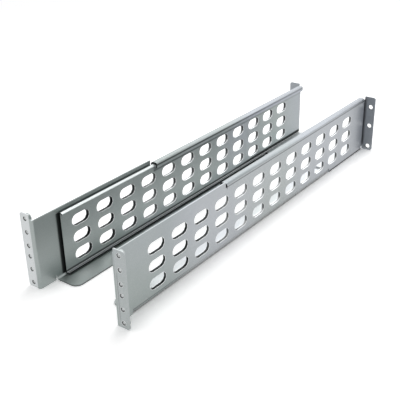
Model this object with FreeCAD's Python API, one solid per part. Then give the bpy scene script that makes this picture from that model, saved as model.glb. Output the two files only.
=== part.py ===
import FreeCAD, Part
import math
import os

# A pair of telescoping rack rails in plated sheet steel, one left and one right, standing side by side.
# Each rail is a front half with a two-unit ear, and a rear half that slides inside it to set the depth.
# X is across the pair, Y runs from the front ears to the rear ears, and Z is up from the ledges' undersides.

# Sheet and bends
sheet = 1.5
bend_inside = 1.5
tight_bend_inside = 1.0
ledge_bend_inside = 3.0
hook_bend_inside = 2.0
flange_bend_inside = 0.5
relief_width = 3.0
front_relief_width = 1.0
relief_past_bend = 1.0

# Rack hole pattern, two rack units
rack_unit = 44.45
panel_gap = 0.8
hole_step = 15.875
hole_step_across_units = 12.7

# Layout of the pair
web_face_spacing = 111.4
rear_ear_face = 540.0

# Front half: web, ear, ledge and guide hook
front_web_height = 82.0
front_half_end = 536.0
front_ear_width = 16.0
front_ear_hole_from_web = 8.5
ear_corner = 3.0
ear_notch_corner = 2.5
ledge_width = 31.5
ledge_start = 24.0
ledge_end = 433.5
ledge_corner = 9.0
hook_start = 188.5
hook_top = 79.3
hook_width = 9.5
hook_lip = 6.5

# Rear half: channel, wide ledge and ear
side_gap = 1.0
ledge_clearance = 0.8
hook_clearance = 0.4
channel_start = 36.0
channel_flange = 5.0
upper_flange_tilt = 25.0
channel_end_before_ear = 3.0
wide_ledge_start = 437.0
wide_ledge_corner = 6.0
rear_ear_width = 15.0
rear_ear_height = 81.0
rear_ear_hole = 6.5

# Slots through both webs
slot_length = 26.5
slot_height = 13.5
slot_pitch = 38.1
slot_columns = 12
slot_first_column = 63.5
rear_slot_shift = 1.0
slot_row_pitch = 20.7
slot_middle_row = 38.7
slot_end_facets = 5

# Threaded clinch nuts pressed into the front ears from behind
nut_shank = 6.36
nut_seat = 6.4
nut_head = 9.5
nut_head_height = 3.8
nut_thread_bore = 4.3
nut_knurl_sides = 12

# Worked out from the driving dimensions
overall_length = rear_ear_face + sheet
panel_height = 2 * rack_unit - panel_gap
panel_middle = panel_height / 2
half_unit_step = hole_step_across_units / 2
rack_holes_above = [half_unit_step + step * hole_step for step in range(3)]
front_hole_heights = [panel_middle + side * offset for offset in rack_holes_above for side in (1, -1)]
rear_hole_heights = [
    panel_middle + rack_holes_above[1],
    panel_middle - rack_holes_above[0],
    panel_middle - rack_holes_above[2],
]
channel_face = -(sheet + side_gap)
channel_bottom = sheet + ledge_clearance
channel_top = hook_top - sheet - hook_clearance


def on_yz(y, z):
    return FreeCAD.Vector(0, y, z)


def on_xz(x, z):
    return FreeCAD.Vector(x, 0, z)


def on_xy(x, y):
    return FreeCAD.Vector(x, y, 0)


def along_y(length):
    return FreeCAD.Vector(0, length, 0)


def along_z(length):
    return FreeCAD.Vector(0, 0, length)


def rounded_face(corners):
    """Flat face through corners given as (point, radius), with a tangent arc at each rounded corner."""
    stops = []
    for index, (corner, radius) in enumerate(corners):
        before = (corners[index - 1][0] - corner).normalize()
        after = (corners[(index + 1) % len(corners)][0] - corner).normalize()
        half_angle = before.getAngle(after) / 2
        run = radius / math.tan(half_angle)
        bisector = (before + after).normalize() if radius else before
        middle = corner + bisector * (radius / math.sin(half_angle) - radius)
        stops.append((corner + before * run, middle, corner + after * run, radius))
    edges = []
    for index, (entry, middle, leave, radius) in enumerate(stops):
        if radius:
            edges.append(Part.Arc(entry, middle, leave).toShape())
        following = stops[(index + 1) % len(stops)][0]
        if leave.distanceToPoint(following) > 1e-6:
            edges.append(Part.LineSegment(leave, following).toShape())
    return Part.Face(Part.Wire(edges))


def extruded(corners, sweep, start=FreeCAD.Vector(0, 0, 0)):
    solid = rounded_face(corners).extrude(sweep)
    solid.translate(start)
    return solid


def hole_along_y(diameter, x, z, start, depth):
    return Part.makeCylinder(diameter / 2, depth, FreeCAD.Vector(x, start, z), FreeCAD.Vector(0, 1, 0))


def knurl_prism(diameter, x, z, start, depth):
    """Straight-sided prism along Y, for a knurled round that bites into its seat."""
    points = []
    for side in range(nut_knurl_sides + 1):
        angle = 2 * math.pi * (side + 0.5) / nut_knurl_sides
        reach = diameter / 2
        points.append(FreeCAD.Vector(x + reach * math.cos(angle), start, z + reach * math.sin(angle)))
    return Part.Face(Part.makePolygon(points)).extrude(along_y(depth))


def relief_cut(start, end, low, high):
    """Notch through the web where a bend stops."""
    return Part.makeBox(3 * sheet, end - start, high - low, FreeCAD.Vector(-2 * sheet, start, low))


def slot_field(first_column):
    """Three rows of obround slots through a web, each end turned in short straight facets."""
    depth = 4 * sheet
    radius = slot_height / 2
    straight = slot_length / 2 - radius
    outline = []
    for end in (1, -1):
        for facet in range(slot_end_facets + 1):
            angle = math.pi * (facet / slot_end_facets - 0.5)
            outline.append(on_yz(end * (straight + radius * math.cos(angle)), end * radius * math.sin(angle)))
    one = Part.Face(Part.makePolygon(outline + outline[:1])).extrude(FreeCAD.Vector(depth, 0, 0))
    cutters = []
    for column in range(slot_columns):
        for row in (-1, 0, 1):
            y = first_column + column * slot_pitch
            z = slot_middle_row + row * slot_row_pitch
            cutters.append(one.translated(FreeCAD.Vector(-depth + sheet / 2, y, z)))
    return Part.makeCompound(cutters)


def rounded_edges(solid, radius, direction, places):
    """Fillet the straight edges along a direction that pass through the given places."""
    chosen = []
    for edge in solid.Edges:
        if len(edge.Vertexes) != 2:
            continue
        run = edge.Vertexes[1].Point - edge.Vertexes[0].Point
        if run.cross(direction).Length > 1e-6:
            continue
        middle = (edge.Vertexes[0].Point + edge.Vertexes[1].Point) * 0.5
        if any((middle - place).cross(direction).Length < 1e-6 for place in places):
            chosen.append(edge)
    return solid.makeFillet(radius, chosen)


def front_web():
    """Flat web of the front half, cut back where the ledge and the hook bend away from it."""
    ledge_bend = ledge_bend_inside + sheet
    hook_bend = hook_bend_inside + sheet
    web_start = sheet + bend_inside
    outline = [
        on_yz(web_start, 0),
        on_yz(ledge_start, 0),
        on_yz(ledge_start, ledge_bend),
        on_yz(ledge_end, ledge_bend),
        on_yz(ledge_end, 0),
        on_yz(front_half_end, 0),
        on_yz(front_half_end, hook_top - hook_bend),
        on_yz(hook_start, hook_top - hook_bend),
        on_yz(hook_start, front_web_height),
        on_yz(web_start, front_web_height),
    ]
    return extruded([(point, 0) for point in outline], FreeCAD.Vector(-sheet, 0, 0))


def front_ledge():
    """Shelf bent inward from the bottom of the front web, with rounded inner corners."""
    bend = ledge_bend_inside + sheet
    section = [
        (on_xz(0, bend), 0),
        (on_xz(0, 0), bend),
        (on_xz(-ledge_width, 0), 0),
        (on_xz(-ledge_width, sheet), 0),
        (on_xz(-sheet, sheet), ledge_bend_inside),
        (on_xz(-sheet, bend), 0),
    ]
    shelf = extruded(section, along_y(ledge_end - ledge_start), along_y(ledge_start))
    inner_corners = [FreeCAD.Vector(-ledge_width, y, 0) for y in (ledge_start, ledge_end)]
    return rounded_edges(shelf, ledge_corner, FreeCAD.Vector(0, 0, 1), inner_corners)


def guide_hook():
    """Top of the front web folded over and down, so that it holds the rear half's upper flange."""
    bend = hook_bend_inside + sheet
    lip_bend = tight_bend_inside + sheet
    top = hook_top
    section = [
        (on_xz(0, top - bend), 0),
        (on_xz(0, top), bend),
        (on_xz(-hook_width, top), lip_bend),
        (on_xz(-hook_width, top - hook_lip), 0),
        (on_xz(-hook_width + sheet, top - hook_lip), 0),
        (on_xz(-hook_width + sheet, top - sheet), tight_bend_inside),
        (on_xz(-sheet, top - sheet), hook_bend_inside),
        (on_xz(-sheet, top - bend), 0),
    ]
    return extruded(section, along_y(front_half_end - hook_start), along_y(hook_start))


def front_ear():
    """Two-unit ear bent outward from the front of the web, standing above it at the top."""
    bend = bend_inside + sheet
    section = [
        (on_xy(-sheet, bend), 0),
        (on_xy(-sheet, 0), bend),
        (on_xy(front_ear_width, 0), 0),
        (on_xy(front_ear_width, sheet), 0),
        (on_xy(0, sheet), bend_inside),
        (on_xy(0, bend), 0),
    ]
    ear = extruded(section, along_z(panel_height))
    outer_corners = [FreeCAD.Vector(front_ear_width, 0, z) for z in (0, panel_height)]
    ear = rounded_edges(ear, ear_corner, FreeCAD.Vector(0, 1, 0), outer_corners)
    notch = [
        (on_xz(-2 * sheet, front_web_height), 0),
        (on_xz(bend_inside, front_web_height), ear_notch_corner),
        (on_xz(bend_inside, 2 * panel_height), 0),
        (on_xz(-2 * sheet, 2 * panel_height), 0),
    ]
    ear = ear.cut(extruded(notch, along_y(3 * bend), along_y(-bend)))
    for z in front_hole_heights:
        ear = ear.cut(knurl_prism(nut_seat, front_ear_hole_from_web, z, -sheet, 3 * sheet))
    return ear


def front_half():
    ledge_bend = ledge_bend_inside + sheet
    hook_bend = hook_bend_inside + sheet
    half = front_web().multiFuse([front_ledge(), guide_hook(), front_ear()])
    low_top = ledge_bend + relief_past_bend
    high_bottom = hook_top - hook_bend - relief_past_bend
    reliefs = [
        relief_cut(ledge_start - front_relief_width, ledge_start, -sheet, low_top),
        relief_cut(ledge_end, ledge_end + relief_width, -sheet, low_top),
        relief_cut(hook_start - relief_width, hook_start, high_bottom, front_web_height + sheet),
    ]
    return half.cut(Part.makeCompound(reliefs)).cut(slot_field(slot_first_column)).removeSplitter()


def rear_channel():
    """Web and narrow flanges of the rear half, the upper one folded past square so that it slopes inward."""
    bend = flange_bend_inside + sheet
    lip = channel_face - channel_flange
    inner = channel_face - sheet
    tilt = math.radians(upper_flange_tilt)
    slope = math.tan(tilt)
    corner = channel_top + bend * (math.cos(tilt) - 1 + (1 + math.sin(tilt)) * slope)
    lip_top = corner - channel_flange * slope
    section = [
        (on_xz(channel_face, channel_bottom), bend),
        (on_xz(channel_face, corner), bend),
        (on_xz(lip, lip_top), 0),
        (on_xz(lip + sheet * math.sin(tilt), lip_top - sheet * math.cos(tilt)), 0),
        (on_xz(inner, corner - sheet * slope - sheet / math.cos(tilt)), flange_bend_inside),
        (on_xz(inner, channel_bottom + sheet), flange_bend_inside),
        (on_xz(lip, channel_bottom + sheet), 0),
        (on_xz(lip, channel_bottom), 0),
    ]
    length = rear_ear_face - channel_end_before_ear - channel_start
    return extruded(section, along_y(length), along_y(channel_start))


def rear_wide_ledge():
    """The lower flange widens near the rear ear into a shelf as wide as the front ledge."""
    root = channel_face - channel_flange + sheet
    end = rear_ear_face - channel_end_before_ear
    outline = [
        (on_xy(root, wide_ledge_start), 0),
        (on_xy(-ledge_width, wide_ledge_start), wide_ledge_corner),
        (on_xy(-ledge_width, end), wide_ledge_corner),
        (on_xy(root, end), 0),
    ]
    return extruded(outline, along_z(sheet), along_z(channel_bottom))


def rear_ear():
    """Ear bent outward behind the end of the front half, taller than the channel at both ends."""
    bend = bend_inside + sheet
    inner = channel_face - sheet
    back = rear_ear_face + sheet
    root = rear_ear_face - channel_end_before_ear
    section = [
        (on_xy(inner, root), 0),
        (on_xy(inner, back), bend),
        (on_xy(rear_ear_width, back), 0),
        (on_xy(rear_ear_width, rear_ear_face), 0),
        (on_xy(channel_face, rear_ear_face), bend_inside),
        (on_xy(channel_face, root), 0),
    ]
    ear = extruded(section, along_z(rear_ear_height))
    outer_corners = [FreeCAD.Vector(rear_ear_width, rear_ear_face, z) for z in (0, rear_ear_height)]
    ear = rounded_edges(ear, ear_corner, FreeCAD.Vector(0, 1, 0), outer_corners)
    flange_bend = flange_bend_inside + sheet
    edge = channel_face + bend_inside
    for inside, outside in (
        (channel_bottom + flange_bend, -rear_ear_height),
        (channel_top - flange_bend, 2 * rear_ear_height),
    ):
        notch = [
            (on_xz(2 * inner, inside), 0),
            (on_xz(edge, inside), ear_notch_corner),
            (on_xz(edge, outside), 0),
            (on_xz(2 * inner, outside), 0),
        ]
        ear = ear.cut(extruded(notch, along_y(3 * bend), along_y(rear_ear_face - 2 * bend)))
    for z in rear_hole_heights:
        start = rear_ear_face - sheet
        ear = ear.cut(hole_along_y(rear_ear_hole, front_ear_hole_from_web, z, start, 3 * sheet))
    return ear


def rear_half():
    half = rear_channel().multiFuse([rear_wide_ledge(), rear_ear()])
    return half.cut(slot_field(slot_first_column + rear_slot_shift)).removeSplitter()


def clinch_nut(z):
    """Flush nut: its knurled shank fills the ear's hole and its head sits behind the ear."""
    x = front_ear_hole_from_web
    shank = knurl_prism(nut_shank, x, z, 0, sheet)
    head = knurl_prism(nut_head, x, z, sheet, nut_head_height)
    bore = hole_along_y(nut_thread_bore, x, z, -sheet, nut_head_height + 3 * sheet)
    return shank.fuse(head).cut(bore)


def front_ear_nuts():
    return Part.makeCompound([clinch_nut(z) for z in front_hole_heights])


right_hand_pieces = {
    "front_rail": front_half(),
    "rear_rail": rear_half(),
    "ear_nuts": front_ear_nuts(),
}
place = FreeCAD.Vector(web_face_spacing / 2, -overall_length / 2, 0)
across = FreeCAD.Vector(1, 0, 0)
os.makedirs("parts", exist_ok=True)
for name, piece in right_hand_pieces.items():
    right = piece.translated(place)
    right.exportStep("parts/right_" + name + ".step")
    right.mirror(FreeCAD.Vector(0, 0, 0), across).exportStep("parts/left_" + name + ".step")
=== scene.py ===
import math

import bpy
from mathutils import Matrix, Vector


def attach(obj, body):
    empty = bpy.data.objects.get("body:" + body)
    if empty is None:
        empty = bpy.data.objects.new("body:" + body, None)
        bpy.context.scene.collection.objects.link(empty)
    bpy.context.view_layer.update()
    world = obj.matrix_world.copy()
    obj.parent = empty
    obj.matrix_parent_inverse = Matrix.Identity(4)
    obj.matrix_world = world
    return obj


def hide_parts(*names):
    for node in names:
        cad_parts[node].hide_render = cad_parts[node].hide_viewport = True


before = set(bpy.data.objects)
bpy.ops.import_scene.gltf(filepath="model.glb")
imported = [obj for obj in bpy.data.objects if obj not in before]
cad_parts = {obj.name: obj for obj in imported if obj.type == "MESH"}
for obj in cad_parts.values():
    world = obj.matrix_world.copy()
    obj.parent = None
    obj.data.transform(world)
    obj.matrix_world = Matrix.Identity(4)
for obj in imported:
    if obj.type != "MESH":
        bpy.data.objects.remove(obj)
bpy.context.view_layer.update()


# Front rails, left and right: each is one 1.5 mm sheet of cold-rolled steel, punched with slots, bent on a
# press brake into a web, an outward ear, an inward ledge and a guide hook, and then zinc plated all over.
# Sheared edges are dull, and the slot walls and the track on the ledge are rubbed bright. Shade is painted
# dark along the bends, under the hook, at the floor contact and in the gaps beside the rear rail, and light
# is painted on the ears, most on the left one.
class Wire:
    """A node output. Arithmetic on it adds Math nodes, and node() adds any other node."""

    def __init__(self, tree, socket=None):
        self.tree = tree
        self.socket = socket

    def node(self, kind, settings=None, values=None, out=0):
        made = self.tree.nodes.new(kind)
        for name, value in (settings or {}).items():
            if name == "points":
                curve = made.mapping.curves[0]
                for place, height in value[1:-1]:
                    curve.points.new(place, height)
                for point, (place, height) in zip(curve.points, value):
                    point.location = (place, height)
                    point.handle_type = "VECTOR"
                made.mapping.update()
            else:
                setattr(made, name, value)
        for name, value in (values or {}).items():
            for one in value if isinstance(value, list) else [value]:
                if isinstance(one, Wire):
                    self.tree.links.new(one.socket, made.inputs[name])
                else:
                    made.inputs[name].default_value = one
        return Wire(self.tree, made.outputs[out] if made.outputs else None)

    def other(self, output):
        """Another output of the same node."""
        return Wire(self.tree, self.socket.node.outputs[output])

    def maths(self, operation, first, second=0.0):
        return self.node("ShaderNodeMath", {"operation": operation}, {0: first, 1: second})

    def __add__(self, other):
        return self.maths("ADD", self, other)

    def __sub__(self, other):
        return self.maths("SUBTRACT", self, other)

    def __mul__(self, other):
        return self.maths("MULTIPLY", self, other)

    def __truediv__(self, other):
        return self.maths("DIVIDE", self, other)

    def __radd__(self, other):
        return self.maths("ADD", other, self)

    def __rsub__(self, other):
        return self.maths("SUBTRACT", other, self)

    def __rmul__(self, other):
        return self.maths("MULTIPLY", other, self)

    def __rtruediv__(self, other):
        return self.maths("DIVIDE", other, self)

    def __abs__(self):
        return self.maths("ABSOLUTE", self)

    def at_least(self, low):
        return self.maths("MAXIMUM", self, low)

    def at_most(self, high):
        return self.maths("MINIMUM", self, high)

    def also(self, *masks):
        """This mask laid over others: the strongest of them at each point."""
        laid = self
        for mask in masks:
            laid = laid.at_least(mask)
        return laid

    def nearest(self, other):
        """The smaller of two distances from zero."""
        return abs(self).at_most(abs(other))

    def beside(self, other):
        """Length of the diagonal over two sides at right angles."""
        return self.maths("SQRT", self * self + other * other)

    def ramped(self, low, high):
        """0 at low, 1 at high, with a smooth run between."""
        values = {"Value": self, "From Min": low, "From Max": high}
        return self.node("ShaderNodeMapRange", {"interpolation_type": "SMOOTHSTEP"}, values)

    def below(self, low, high):
        """1 at low, 0 at high, with a smooth run between."""
        return 1 - self.ramped(low, high)

    def between(self, rise, fall):
        """A band: 0 before rise, 1 from the end of rise to the start of fall, and 0 after fall."""
        return self.ramped(*rise) * self.below(*fall)

    def near(self, middle, full, gone):
        """A line: 1 up to full away from its middle, and 0 from gone away."""
        return abs(self - middle).below(full, gone)

    def tinted(self, low, high):
        """Colour between low and high by this value."""
        return self.node("ShaderNodeMix", {"data_type": "RGBA"}, {0: self, 6: low, 7: high}, out=2)


mm = 1000  # millimetres in a metre; the sizes below are in millimetres
web_face = 55.7  # outer face of a web, from the middle of the pair
slot_columns, slot_pitch = 12, 38.1
slot_row_pitch, middle_row = 20.7, 38.7
slot_half_straight, slot_end_radius = 6.5, 6.75
front_column = -207.25  # foremost column of slots
ledge_start, ledge_stop, ledge_width = -246.75, 162.75, 31.5
ledge_bend = 4.5  # outer radius
hook_start = -82.25
# the dull and sheared colours also paint shade, and the bright and rubbed colours also paint light
dull_zinc_and_shade = (0.17, 0.19, 0.19, 1)
rubbed_zinc_and_light = (0.56, 0.58, 0.59, 1)
bright_zinc_and_highlight = (0.84, 0.86, 0.87, 1)
sheared_steel_and_shade = (0.022, 0.026, 0.026, 1)


def past_slot(along, up, first_column):
    """Millimetres outside the rim of the nearest slot, and how dark the wall is there: the dull fracture of
    the shear, with painted shade at the rear end of each slot and on every wall of the front columns.
    """
    column = along.maths("ROUND", (along - first_column) / slot_pitch).at_least(0).at_most(slot_columns - 1)
    row = up.maths("ROUND", (up - middle_row) / slot_row_pitch).at_least(-1).at_most(1)
    from_middle = along - first_column - slot_pitch * column
    rise = up - middle_row - slot_row_pitch * row
    beyond = (abs(from_middle) - slot_half_straight).at_least(0)
    # painted shade on the slot walls: their rear ends everywhere, and whole walls towards the front
    shaded_rear_end = 0.75 * (from_middle + 0.5 * rise).ramped(8, 12)
    return beyond.beside(rise) - slot_end_radius, shaded_rear_end.at_least(along.below(-150, 10))


def ledge_rim(along, inward, start, end, corner):
    """The sheared rim of a ledge with rounded inner corners."""
    endways = (abs(along - (start + end) / 2) - ((end - start) / 2 - corner)).at_least(0)
    sideways = (inward - (ledge_width - corner)).at_least(0)
    return (endways.beside(sideways) - corner).ramped(-0.2, -0.05)


def plated_sheet(name, seed, marks):
    """Zinc plate on rolled sheet: cloudy tone, grain along the rail, spangle, and the rail's own marks,
    among them painted shade and painted light.

    Marks lie in millimetres: along from the middle, inward from the web's outer face, and up from the floor.
    """
    material = bpy.data.materials.new(name)
    material.use_nodes = True
    shader = material.node_tree.nodes["Principled BSDF"]
    wire = Wire(material.node_tree)
    place = wire.node("ShaderNodeTexCoord", out=3)
    side = wire.node("ShaderNodeSeparateXYZ", None, {0: place})
    inward = web_face - mm * abs(side)
    along = mm * side.other("Y")
    up = mm * side.other("Z")
    edges, lands_and_highlights, lines, rubs_and_painted_light = marks(along, inward, up, side.ramped(-0.001, 0.001))
    moved = wire.node("ShaderNodeMapping", None, {"Vector": place, "Location": seed})
    stretch = {"Vector": place, "Location": seed, "Scale": (1, 0.012, 1)}
    drawn = wire.node("ShaderNodeMapping", None, stretch)
    grain = wire.node("ShaderNodeTexNoise", None, {"Vector": drawn, "Scale": 1400, "Detail": 2})
    clouding = {"Vector": moved, "Scale": 16, "Detail": 4, "Roughness": 0.6}
    cloud = wire.node("ShaderNodeTexNoise", None, clouding)
    frost = wire.node("ShaderNodeTexNoise", None, {"Vector": moved, "Scale": 850, "Detail": 1})
    bloom = wire.node("ShaderNodeTexNoise", None, {"Vector": moved, "Scale": 5, "Detail": 1})
    tone = (0.42 * cloud + 0.22 * grain + 0.36 * frost).ramped(0.34, 0.66)
    green = tone.tinted((0.355, 0.398, 0.390, 1), (0.425, 0.460, 0.452, 1))
    blue = tone.tinted((0.402, 0.427, 0.468, 1), (0.469, 0.490, 0.535, 1))
    plate = (bloom + along / 1400).ramped(0.36, 0.66).tinted(green, blue)
    # the dull lines and dark edges below also carry painted shade, and the bright and rubbed tints also
    # carry painted light
    creased_and_shaded = lines.tinted(plate, dull_zinc_and_shade)
    rubbed = (rubs_and_painted_light * (0.5 + 0.5 * frost.ramped(0.3, 0.7))).tinted(creased_and_shaded, rubbed_zinc_and_light)
    burnished_and_highlighted = (lands_and_highlights * (0.7 + 0.6 * grain)).tinted(rubbed, bright_zinc_and_highlight)
    colour = edges.tinted(burnished_and_highlighted, sheared_steel_and_shade)
    wire.tree.links.new(colour.socket, shader.inputs["Base Color"])
    shelf = inward.ramped(4, 6) * up.below(4, 5)
    spread = 0.41 + 0.16 * (cloud - 0.5) + 0.14 * (grain - 0.5) + 0.1 * (frost - 0.5)
    spread = spread + 0.1 * shelf + 0.2 * edges - 0.08 * lands_and_highlights
    wire.tree.links.new(spread.socket, shader.inputs["Roughness"])
    height = grain + 0.6 * frost - 1.5 * lines
    bump = wire.node("ShaderNodeBump", None, {"Height": height, "Strength": 0.06, "Distance": 0.0002})
    wire.tree.links.new(bump.socket, shader.inputs["Normal"])
    shader.inputs["Metallic"].default_value = 1.0
    return material


def eased_edges(node):
    """Break the sheared edges of a sheet piece without touching its own mesh."""
    weld = node.modifiers.new("joined triangles", "WELD")
    weld.merge_threshold = 1e-6
    ease = node.modifiers.new("eased edges", "BEVEL")
    ease.width = 0.3 / mm
    ease.segments = 2
    ease.limit_method = "ANGLE"
    ease.angle_limit = math.radians(50)


def front_marks(along, inward, up, right):
    """Masks of a front rail: dark sheared edges and painted shade, bright burnish and painted light, dull
    lines and painted shade, and rubbed faces.
    """
    outside = inward.below(0.2, 0.6)
    inside = inward.between((1.2, 1.4), (1.6, 1.9))
    by_ledge = along.ramped(ledge_start - 0.45, ledge_start + 0.15)
    by_ledge = by_ledge * along.below(ledge_stop - 0.35, ledge_stop + 0.25)
    by_hook = along.ramped(hook_start - 0.25, hook_start + 0.25)

    past_rim, torn_and_shaded = past_slot(along, up, front_column)
    walls = past_rim.below(0.02, 0.2)
    # slot walls dull past the burnished land, with painted shade
    torn_and_shaded = walls * inward.ramped(0.25, 0.4) * torn_and_shaded
    rim = ledge_rim(along, inward, ledge_start, ledge_stop, 9) * inward.ramped(4, 5) * up.below(2, 3)
    # painted shadow on the web's inner face just ahead of the rear rail's front end
    gap_shadow = inside * along.between((-240, -237), (-234, -233)) * up.below(76, 77)
    low_bend = (ledge_bend - inward).beside(ledge_bend - up).ramped(3.9, 4.3) * inward.below(4.2, 4.6)
    # painted contact shade: the underside of the ledge bend, and the bottom edge of the web behind the ledge
    contact_shade = (low_bend * up.below(2.3, 3.0) * by_ledge).at_least(
        outside * up.below(1.6, 2.6) * along.ramped(165.5, 166)
    )
    # painted shade line on the outer face where the hook's bend meets the web
    hook_bend_shade = outside * up.near(75.5, 0.4, 1.0) * by_hook
    # painted shade at the hook's lip, fading towards the rear
    lip_shade = inward.ramped(8.9, 9.2) * up.between((75.2, 76.0), (77.4, 78.0)) * by_hook
    lip_shade = lip_shade * (1 - 0.6 * along.ramped(0, 200))
    # the hook's front end painted dark as the shade inside its mouth
    hook_end_shade = along.near(hook_start, 0.25, 0.45) * up.ramped(72.5, 73)
    edges = torn_and_shaded.also(0.6 * rim, 0.95 * gap_shadow, 0.9 * contact_shade)
    edges = edges.also(0.5 * hook_bend_shade, 0.7 * lip_shade, 0.95 * hook_end_shade)

    # painted shade line on the outer face where the ledge bend runs into the web
    ledge_bend_shade = 0.85 * outside * up.near(4.9, 0.4, 1.0) * by_ledge
    hook = 0.33 * up.ramped(76, 77) * by_hook
    # painted shade along the top of the web's inner face, above the rear rail
    brim_shade = inside * along.ramped(-236, -234) * up.ramped(76, 77) * (0.95 - 0.85 * up.ramped(77.2, 79.4))
    # painted shadow on the ledge beside the rear rail's lower flange
    flange_shadow = inward.between((7.1, 7.4), (8.6, 9.6)) * up.below(2, 2.6) * along.ramped(-234.5, -233.5)
    ear_line = inward.near(-4.4, 0.3, 0.8) * up.between((6, 10), (58, 66))
    lines = ledge_bend_shade.also(hook, brim_shade, 0.9 * flange_shadow, ear_line)

    track = inward.between((9.5, 11), (29.5, 31)) * up.between((1.2, 1.4), (1.8, 2.2))
    track = track * (along + 70 * right).ramped(-150, -115)
    ear = inward.below(-3, -2)
    # painted light: both front ears are lighter, the left one most. The outer face of the web is also
    # lighter from 200 mm ahead of the middle back.
    lands_and_highlights = walls.also(0.5 * track, 0.42 * ear * (1 - right))
    rubs_and_painted_light = (ear * (1 - 0.5 * right)).at_least(0.65 * outside * along.ramped(-200, -120))
    return edges, lands_and_highlights, lines, rubs_and_painted_light


front_plate = plated_sheet("front_plate", (0.0, 0.0, 0.0), front_marks)
for name in ("left_front_rail", "right_front_rail"):
    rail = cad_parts[name]
    rail.data.materials.clear()
    rail.data.materials.append(front_plate)
    eased_edges(rail)


# Rear rails, left and right: the same sheet and plate, bent into a slotted channel with a wide ledge and an
# ear at its rear end. Each slides inside its front rail, held by the ledge below and the hook above, and its
# flanges are rubbed there. Its front end, lower lip, ear holes, the bottom and top of its channel, the root
# of its ear and its ear are painted darker as shade, and the front end of its ledge is painted dark as shade
# on the left rail and light as a highlight on the right.
rear_column = -206.25
rear_ledge_start, rear_ledge_stop = 166.25, 266.25
ear_hole_inward = -8.5


def rear_marks(along, inward, up, right):
    """Masks of a rear rail, as for a front rail."""
    face = inward.between((3.7, 3.9), (4.4, 4.8))
    low = up.below(4, 5)
    beyond_flange = inward.ramped(8, 9) * low

    past_rim, torn_and_shaded = past_slot(along, up, rear_column)
    walls = past_rim.below(0.02, 0.2)
    # slot walls dull past the burnished land, with painted shade
    torn_and_shaded = walls * inward.below(3.6, 3.75) * torn_and_shaded
    rim = ledge_rim(along, inward, rear_ledge_start, rear_ledge_stop, 6) * beyond_flange
    rim = rim * along.between((166.7, 167), (266.0, 266.5))
    # the ledge's front end: painted shade on the left rail, and a painted highlight on the right rail below
    ledge_end_shade_and_highlight = along.near(rear_ledge_start, 0.3, 0.5) * beyond_flange
    # painted shade at the start of the rear ledge, where the gap between the ledges lies
    notch_shade = along.near(167, 2.0, 2.8) * inward.near(7.6, 1.2, 1.8) * low
    # painted shade on the tip of the narrow lower flange
    flange_edge_shade = inward.ramped(7.25, 7.45) * low * along.below(165.5, 166)
    # painted shade on the rear rail's front end
    front_end_shade = along.below(-234.7, -234.5)
    from_hole = (inward - ear_hole_inward).beside((up - 5.95).nearest(up - 37.7).nearest(up - 66.275))
    # painted shade on the walls of the rear ear's holes
    bore_shade = from_hole.below(3.3, 3.5) * along.ramped(268, 269)
    rearward = along.ramped(60, 160)
    # painted shade low on the channel's inner face, taller towards the rear
    foot_shade = face * up.ramped(3.9, 4.3) * (up - 2 * rearward).below(6, 7.5) * (0.8 + 0.15 * rearward)
    # painted shade in the corner at the root of the ear
    ear_root_shade = along.between((265, 265.5), (268.4, 269.2)) * inward.below(2.9, 3.2)
    edges = torn_and_shaded.also(0.2 * rim, 0.9 * ledge_end_shade_and_highlight * (1 - right), notch_shade, flange_edge_shade)
    edges = edges.also(front_end_shade, bore_shade, foot_shade, 0.85 * ear_root_shade)

    # painted shade at the top of the channel's inner face, under the hook
    head = 0.45 * face * up.ramped(71.5, 73.5)
    # painted shade under the hook's lip, fading towards the rear
    under_hook = face * up.ramped(66.2, 67.2) * along.ramped(-84, -81) * (1 - 0.7 * along.ramped(0, 200))
    # painted shade: the rear ear is darker
    ear = 0.36 * along.ramped(268.9, 269.2)
    lines = head.also(under_hook, ear)

    track = inward.between((9.5, 11), (29.5, 31)) * up.between((3.4, 3.6), (4, 4.4))
    upper_flange = up.ramped(74, 75) * inward.ramped(4.4, 4.8)
    # painted highlight on the right rail's ledge front end
    lands_and_highlights = walls.also(0.5 * track, 0.3 * upper_flange, ledge_end_shade_and_highlight * right)
    lower_flange = inward.between((3.4, 3.9), (7.6, 8)) * low
    return edges, lands_and_highlights, lines, lower_flange


rear_plate = plated_sheet("rear_plate", (0.31, 0.17, 0.23), rear_marks)
for name in ("left_rear_rail", "right_rear_rail"):
    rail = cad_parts[name]
    rail.data.materials.clear()
    rail.data.materials.append(rear_plate)
    eased_edges(rail)


# Clinch nuts: turned steel nuts, zinc plated, six to an ear. The shank is pressed into the ear from behind
# The shank is pressed into the ear from behind until it is flush with the front, and the round head stays
# behind. The M5 thread is cut bright and painted brighter still as light inside the hole, the rim of the
# countersink is a painted highlight, and the mouth of the thread is painted dark as the shade inside the
# hole.
ear_face = -270.75
ear_hole_side, ear_middle_height = 64.2, 44.05
head_radius, nut_length = 4.75, 5.3
nut_plate = bpy.data.materials.new("nut_plate")
nut_plate.use_nodes = True
shader = nut_plate.node_tree.nodes["Principled BSDF"]
wire = Wire(nut_plate.node_tree)
place = wire.node("ShaderNodeTexCoord", out=3)
radius = wire.node("ShaderNodeAttribute", {"attribute_name": "turning_radius"}, out=2)
frost = wire.node("ShaderNodeTexNoise", None, {"Vector": place, "Scale": 1600, "Detail": 2})
rings = wire.maths("SINE", 62000 * radius + 3 * frost)
worn = (frost + 0.12 * rings).ramped(0.3, 0.75)
plate = worn.tinted((0.33, 0.36, 0.36, 1), (0.46, 0.49, 0.49, 1))
rim = radius.between((0.0026, 0.00275), (0.0031, 0.0033))
# painted highlight on the rim of the countersink
rim_highlighted = rim.tinted(plate, (0.85, 0.87, 0.87, 1))
behind_face = mm * wire.node("ShaderNodeSeparateXYZ", None, {0: place}).other("Y") - ear_face
thread = radius.below(0.0023, 0.0026)
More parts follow.
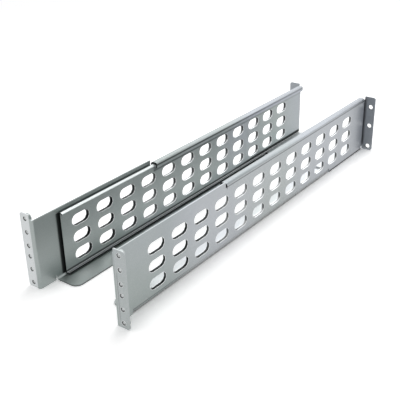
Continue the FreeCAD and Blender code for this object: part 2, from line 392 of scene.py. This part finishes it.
# the thread cut bright, and painted brighter still as light inside the hole
threaded = thread.tinted(rim_highlighted, (0.78, 0.80, 0.80, 1))
# painted shade in the first 1.6 mm of the thread
mouth_shade = thread * behind_face.below(0.8, 1.6)
colour = mouth_shade.tinted(threaded, (0.05, 0.055, 0.055, 1))
wire.tree.links.new(colour.socket, shader.inputs["Base Color"])
spread = 0.3 + 0.2 * (frost - 0.5) + 0.04 * rings
wire.tree.links.new(spread.socket, shader.inputs["Roughness"])
bump = wire.node("ShaderNodeBump", None, {"Height": rings + frost, "Strength": 0.08, "Distance": 0.0001})
wire.tree.links.new(bump.socket, shader.inputs["Normal"])
shader.inputs["Metallic"].default_value = 1.0

nut_rows = bpy.data.node_groups.new("clinch_nut_rows", "GeometryNodeTree")
sockets = {}
for name, kind in (
    ("Ear middle", "NodeSocketVector"),
    ("Inner hole", "NodeSocketFloat"),
    ("Hole step", "NodeSocketFloat"),
    ("Head radius", "NodeSocketFloat"),
    ("Length", "NodeSocketFloat"),
    ("Thread pitch", "NodeSocketFloat"),
    ("Thread depth", "NodeSocketFloat"),
    ("Plate", "NodeSocketMaterial"),
):
    sockets[name] = nut_rows.interface.new_socket(name, in_out="INPUT", socket_type=kind).identifier
nut_rows.interface.new_socket("Nuts", in_out="OUTPUT", socket_type="NodeSocketGeometry")
wire = Wire(nut_rows)
given = wire.node("NodeGroupInput")
profile = [
    (0, 3.18, 0.25), (1, 3.02, 0.03), (2, 2.6, 0.03), (3, 2.35, 0.25), (25, 2.35, 5.0), (26, 2.8, 5.3),
    (28, 4.45, 5.3), (29, 4.75, 5.0), (30, 4.75, 1.54), (31, 3.18, 1.52), (32, 3.18, 0.25),
]
steps = profile[-1][0]
skin = wire.node(
    "GeometryNodeMeshGrid", None, {"Size X": 1, "Size Y": 1, "Vertices X": 29, "Vertices Y": steps + 1}
)
turn = wire.node("ShaderNodeSeparateXYZ", None, {0: skin.other("UV Map")})
step = turn.other("Y")
radius_curve = [(row / steps, across / head_radius) for row, across, depth in profile]
depth_curve = [(row / steps, depth / nut_length) for row, across, depth in profile]
reach = wire.node("ShaderNodeFloatCurve", {"points": radius_curve}, {"Value": step})
reach = reach * given.other("Head radius")
depth = wire.node("ShaderNodeFloatCurve", {"points": depth_curve}, {"Value": step})
depth = depth * given.other("Length")
lead = depth / given.other("Thread pitch") + turn
in_bore = step.between((3.2 / steps, 4 / steps), (24 / steps, 24.8 / steps))
ridge = 2 * wire.maths("PINGPONG", lead, 0.5) * in_bore
reach = reach - ridge * given.other("Thread depth")
angle = turn * (2 * math.pi)
round_about = wire.node(
    "ShaderNodeCombineXYZ",
    None,
    {0: reach * wire.maths("COSINE", angle), 1: depth, 2: reach * wire.maths("SINE", angle)},
)
nut = wire.node("GeometryNodeSetPosition", None, {"Geometry": skin, "Position": round_about})
nut = wire.node(
    "GeometryNodeStoreNamedAttribute",
    {"data_type": "FLOAT", "domain": "POINT"},
    {"Geometry": nut, "Name": "turning_radius", "Value": reach},
)
nut = wire.node("GeometryNodeMergeByDistance", None, {"Geometry": nut, "Distance": 1e-6})
hole_rows = []
for way in (1, -1):
    rise = wire.node("ShaderNodeCombineXYZ", None, {2: way * given.other("Inner hole")})
    start = wire.node("ShaderNodeVectorMath", {"operation": "ADD"}, {0: given.other("Ear middle"), 1: rise})
    apart = wire.node("ShaderNodeCombineXYZ", None, {2: way * given.other("Hole step")})
    row = wire.node("GeometryNodeMeshLine", None, {"Count": 3, "Start Location": start, "Offset": apart})
    hole_rows.append(row)
holes = wire.node("GeometryNodeJoinGeometry", None, {"Geometry": hole_rows})
placed = wire.node("GeometryNodeInstanceOnPoints", None, {"Points": holes, "Instance": nut})
solid = wire.node("GeometryNodeRealizeInstances", None, {"Geometry": placed})
plated = wire.node("GeometryNodeSetMaterial", None, {"Geometry": solid, "Material": given.other("Plate")})
wire.node("NodeGroupOutput", None, {"Nuts": plated})

for side, ear_hole in (("left", -ear_hole_side), ("right", ear_hole_side)):
    nuts = bpy.data.objects.new(side + "_clinch_nuts", bpy.data.meshes.new(side + "_clinch_nuts"))
    bpy.context.scene.collection.objects.link(nuts)
    rows = nuts.modifiers.new("nut rows", "NODES")
    rows.node_group = nut_rows
    for name, value in (
        ("Ear middle", (ear_hole / mm, ear_face / mm, ear_middle_height / mm)),
        ("Inner hole", 6.35 / mm),
        ("Hole step", 15.875 / mm),
        ("Head radius", head_radius / mm),
        ("Length", nut_length / mm),
        ("Thread pitch", 0.8 / mm),
        ("Thread depth", 0.35 / mm),
        ("Plate", nut_plate),
    ):
        rows[sockets[name]] = value
    finished = nuts.evaluated_get(bpy.context.evaluated_depsgraph_get())
    mesh = bpy.data.meshes.new_from_object(finished)
    nuts.modifiers.clear()
    nuts.data = mesh
    mesh.shade_smooth()
    mesh.set_sharp_from_angle(angle=math.radians(35))
    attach(nuts, side + "_front")
    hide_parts(side + "_ear_nuts")


# Stage: a pale studio floor under a white surround, a strip lamp overhead and a soft box behind, both a
# little to the left, and a camera that stands to the right of the front ears and looks down along the pair.
floor_half = 6
floor_mesh = bpy.data.meshes.new("studio_floor")
floor_corners = [(x * floor_half, y * floor_half, 0) for x, y in ((-1, -1), (1, -1), (1, 1), (-1, 1))]
floor_mesh.from_pydata(floor_corners, [], [(0, 1, 2, 3)])
floor = bpy.data.objects.new("studio_floor", floor_mesh)
bpy.context.scene.collection.objects.link(floor)
floor_white = bpy.data.materials.new("floor_white")
floor_white.use_nodes = True
wire = Wire(floor_white.node_tree)
wire.tree.nodes.clear()
seen = wire.node("ShaderNodeLightPath")
mirrored = seen.other("Is Glossy Ray").at_least(seen.other("Is Transmission Ray"))
pale = 0.8 + 0.66 * seen + 0.4 * mirrored
matt = wire.node("ShaderNodeBsdfDiffuse", None, {"Color": pale})
white = wire.node("ShaderNodeEmission", None, {"Strength": 1.0})
spot = wire.node("ShaderNodeSeparateXYZ", None, {0: wire.node("ShaderNodeTexCoord", out=3)})
far_off = spot.beside(spot.other("Y")).ramped(0.6, 1.4) * seen.at_least(mirrored)
both = wire.node("ShaderNodeMixShader", None, {0: far_off.at_least(0.5 * mirrored), 1: matt, 2: white})
wire.node("ShaderNodeOutputMaterial", None, {"Surface": both})
floor_mesh.materials.append(floor_white)

world = bpy.data.worlds.new("studio_surround")
bpy.context.scene.world = world
world.use_nodes = True
wire = Wire(world.node_tree)
wire.tree.nodes.clear()
seen = wire.node("ShaderNodeLightPath")
mirrored = seen.other("Is Glossy Ray").at_least(seen.other("Is Transmission Ray"))
strength = 0.5 + 0.5 * seen.at_least(mirrored)
surround = wire.node("ShaderNodeBackground", None, {"Color": (1, 1, 1, 1), "Strength": strength})
wire.node("ShaderNodeOutputWorld", None, {"Surface": surround})

behind = Vector((-0.2, 1.35, 0.95))
for name, place, turned, width, length, power in (
    ("overhead_strip", (-0.2, 0.05, 1.5), (0, 0, 0), 0.35, 1.4, 6),
    ("back_box", behind, behind.to_track_quat("Z", "Y").to_euler(), 2.8, 1.0, 10.5),
):
    lamp_data = bpy.data.lights.new(name, "AREA")
    lamp_data.shape = "RECTANGLE"
    lamp_data.size = width
    lamp_data.size_y = length
    lamp_data.energy = power
    lamp = bpy.data.objects.new(name, lamp_data)
    lamp.location = place
    lamp.rotation_euler = turned
    bpy.context.scene.collection.objects.link(lamp)

focal_pixels, picture_width, sensor_width = 740.418, 400, 36
camera_data = bpy.data.cameras.new("camera")
camera_data.sensor_width = sensor_width
camera_data.lens = focal_pixels / picture_width * sensor_width
camera_data.clip_start = 0.05
camera_data.clip_end = 20
camera = bpy.data.objects.new("camera", camera_data)
azimuth, elevation, roll = math.radians(37.333), math.radians(26.649), math.radians(-1.373)
turn = (
    Matrix.Rotation(azimuth, 4, "Z")
    @ Matrix.Rotation(math.pi / 2 - elevation, 4, "X")
    @ Matrix.Rotation(roll, 4, "Z")
)
aim = Matrix.Translation((0.002, 0.05275, 0.0387))
drawn_back = Matrix.Translation((-0.068968, -0.045328, 0.966913))
camera.matrix_world = aim @ turn @ drawn_back
bpy.context.scene.collection.objects.link(camera)
bpy.context.scene.camera = camera

bpy.context.scene.view_settings.view_transform = "Standard"
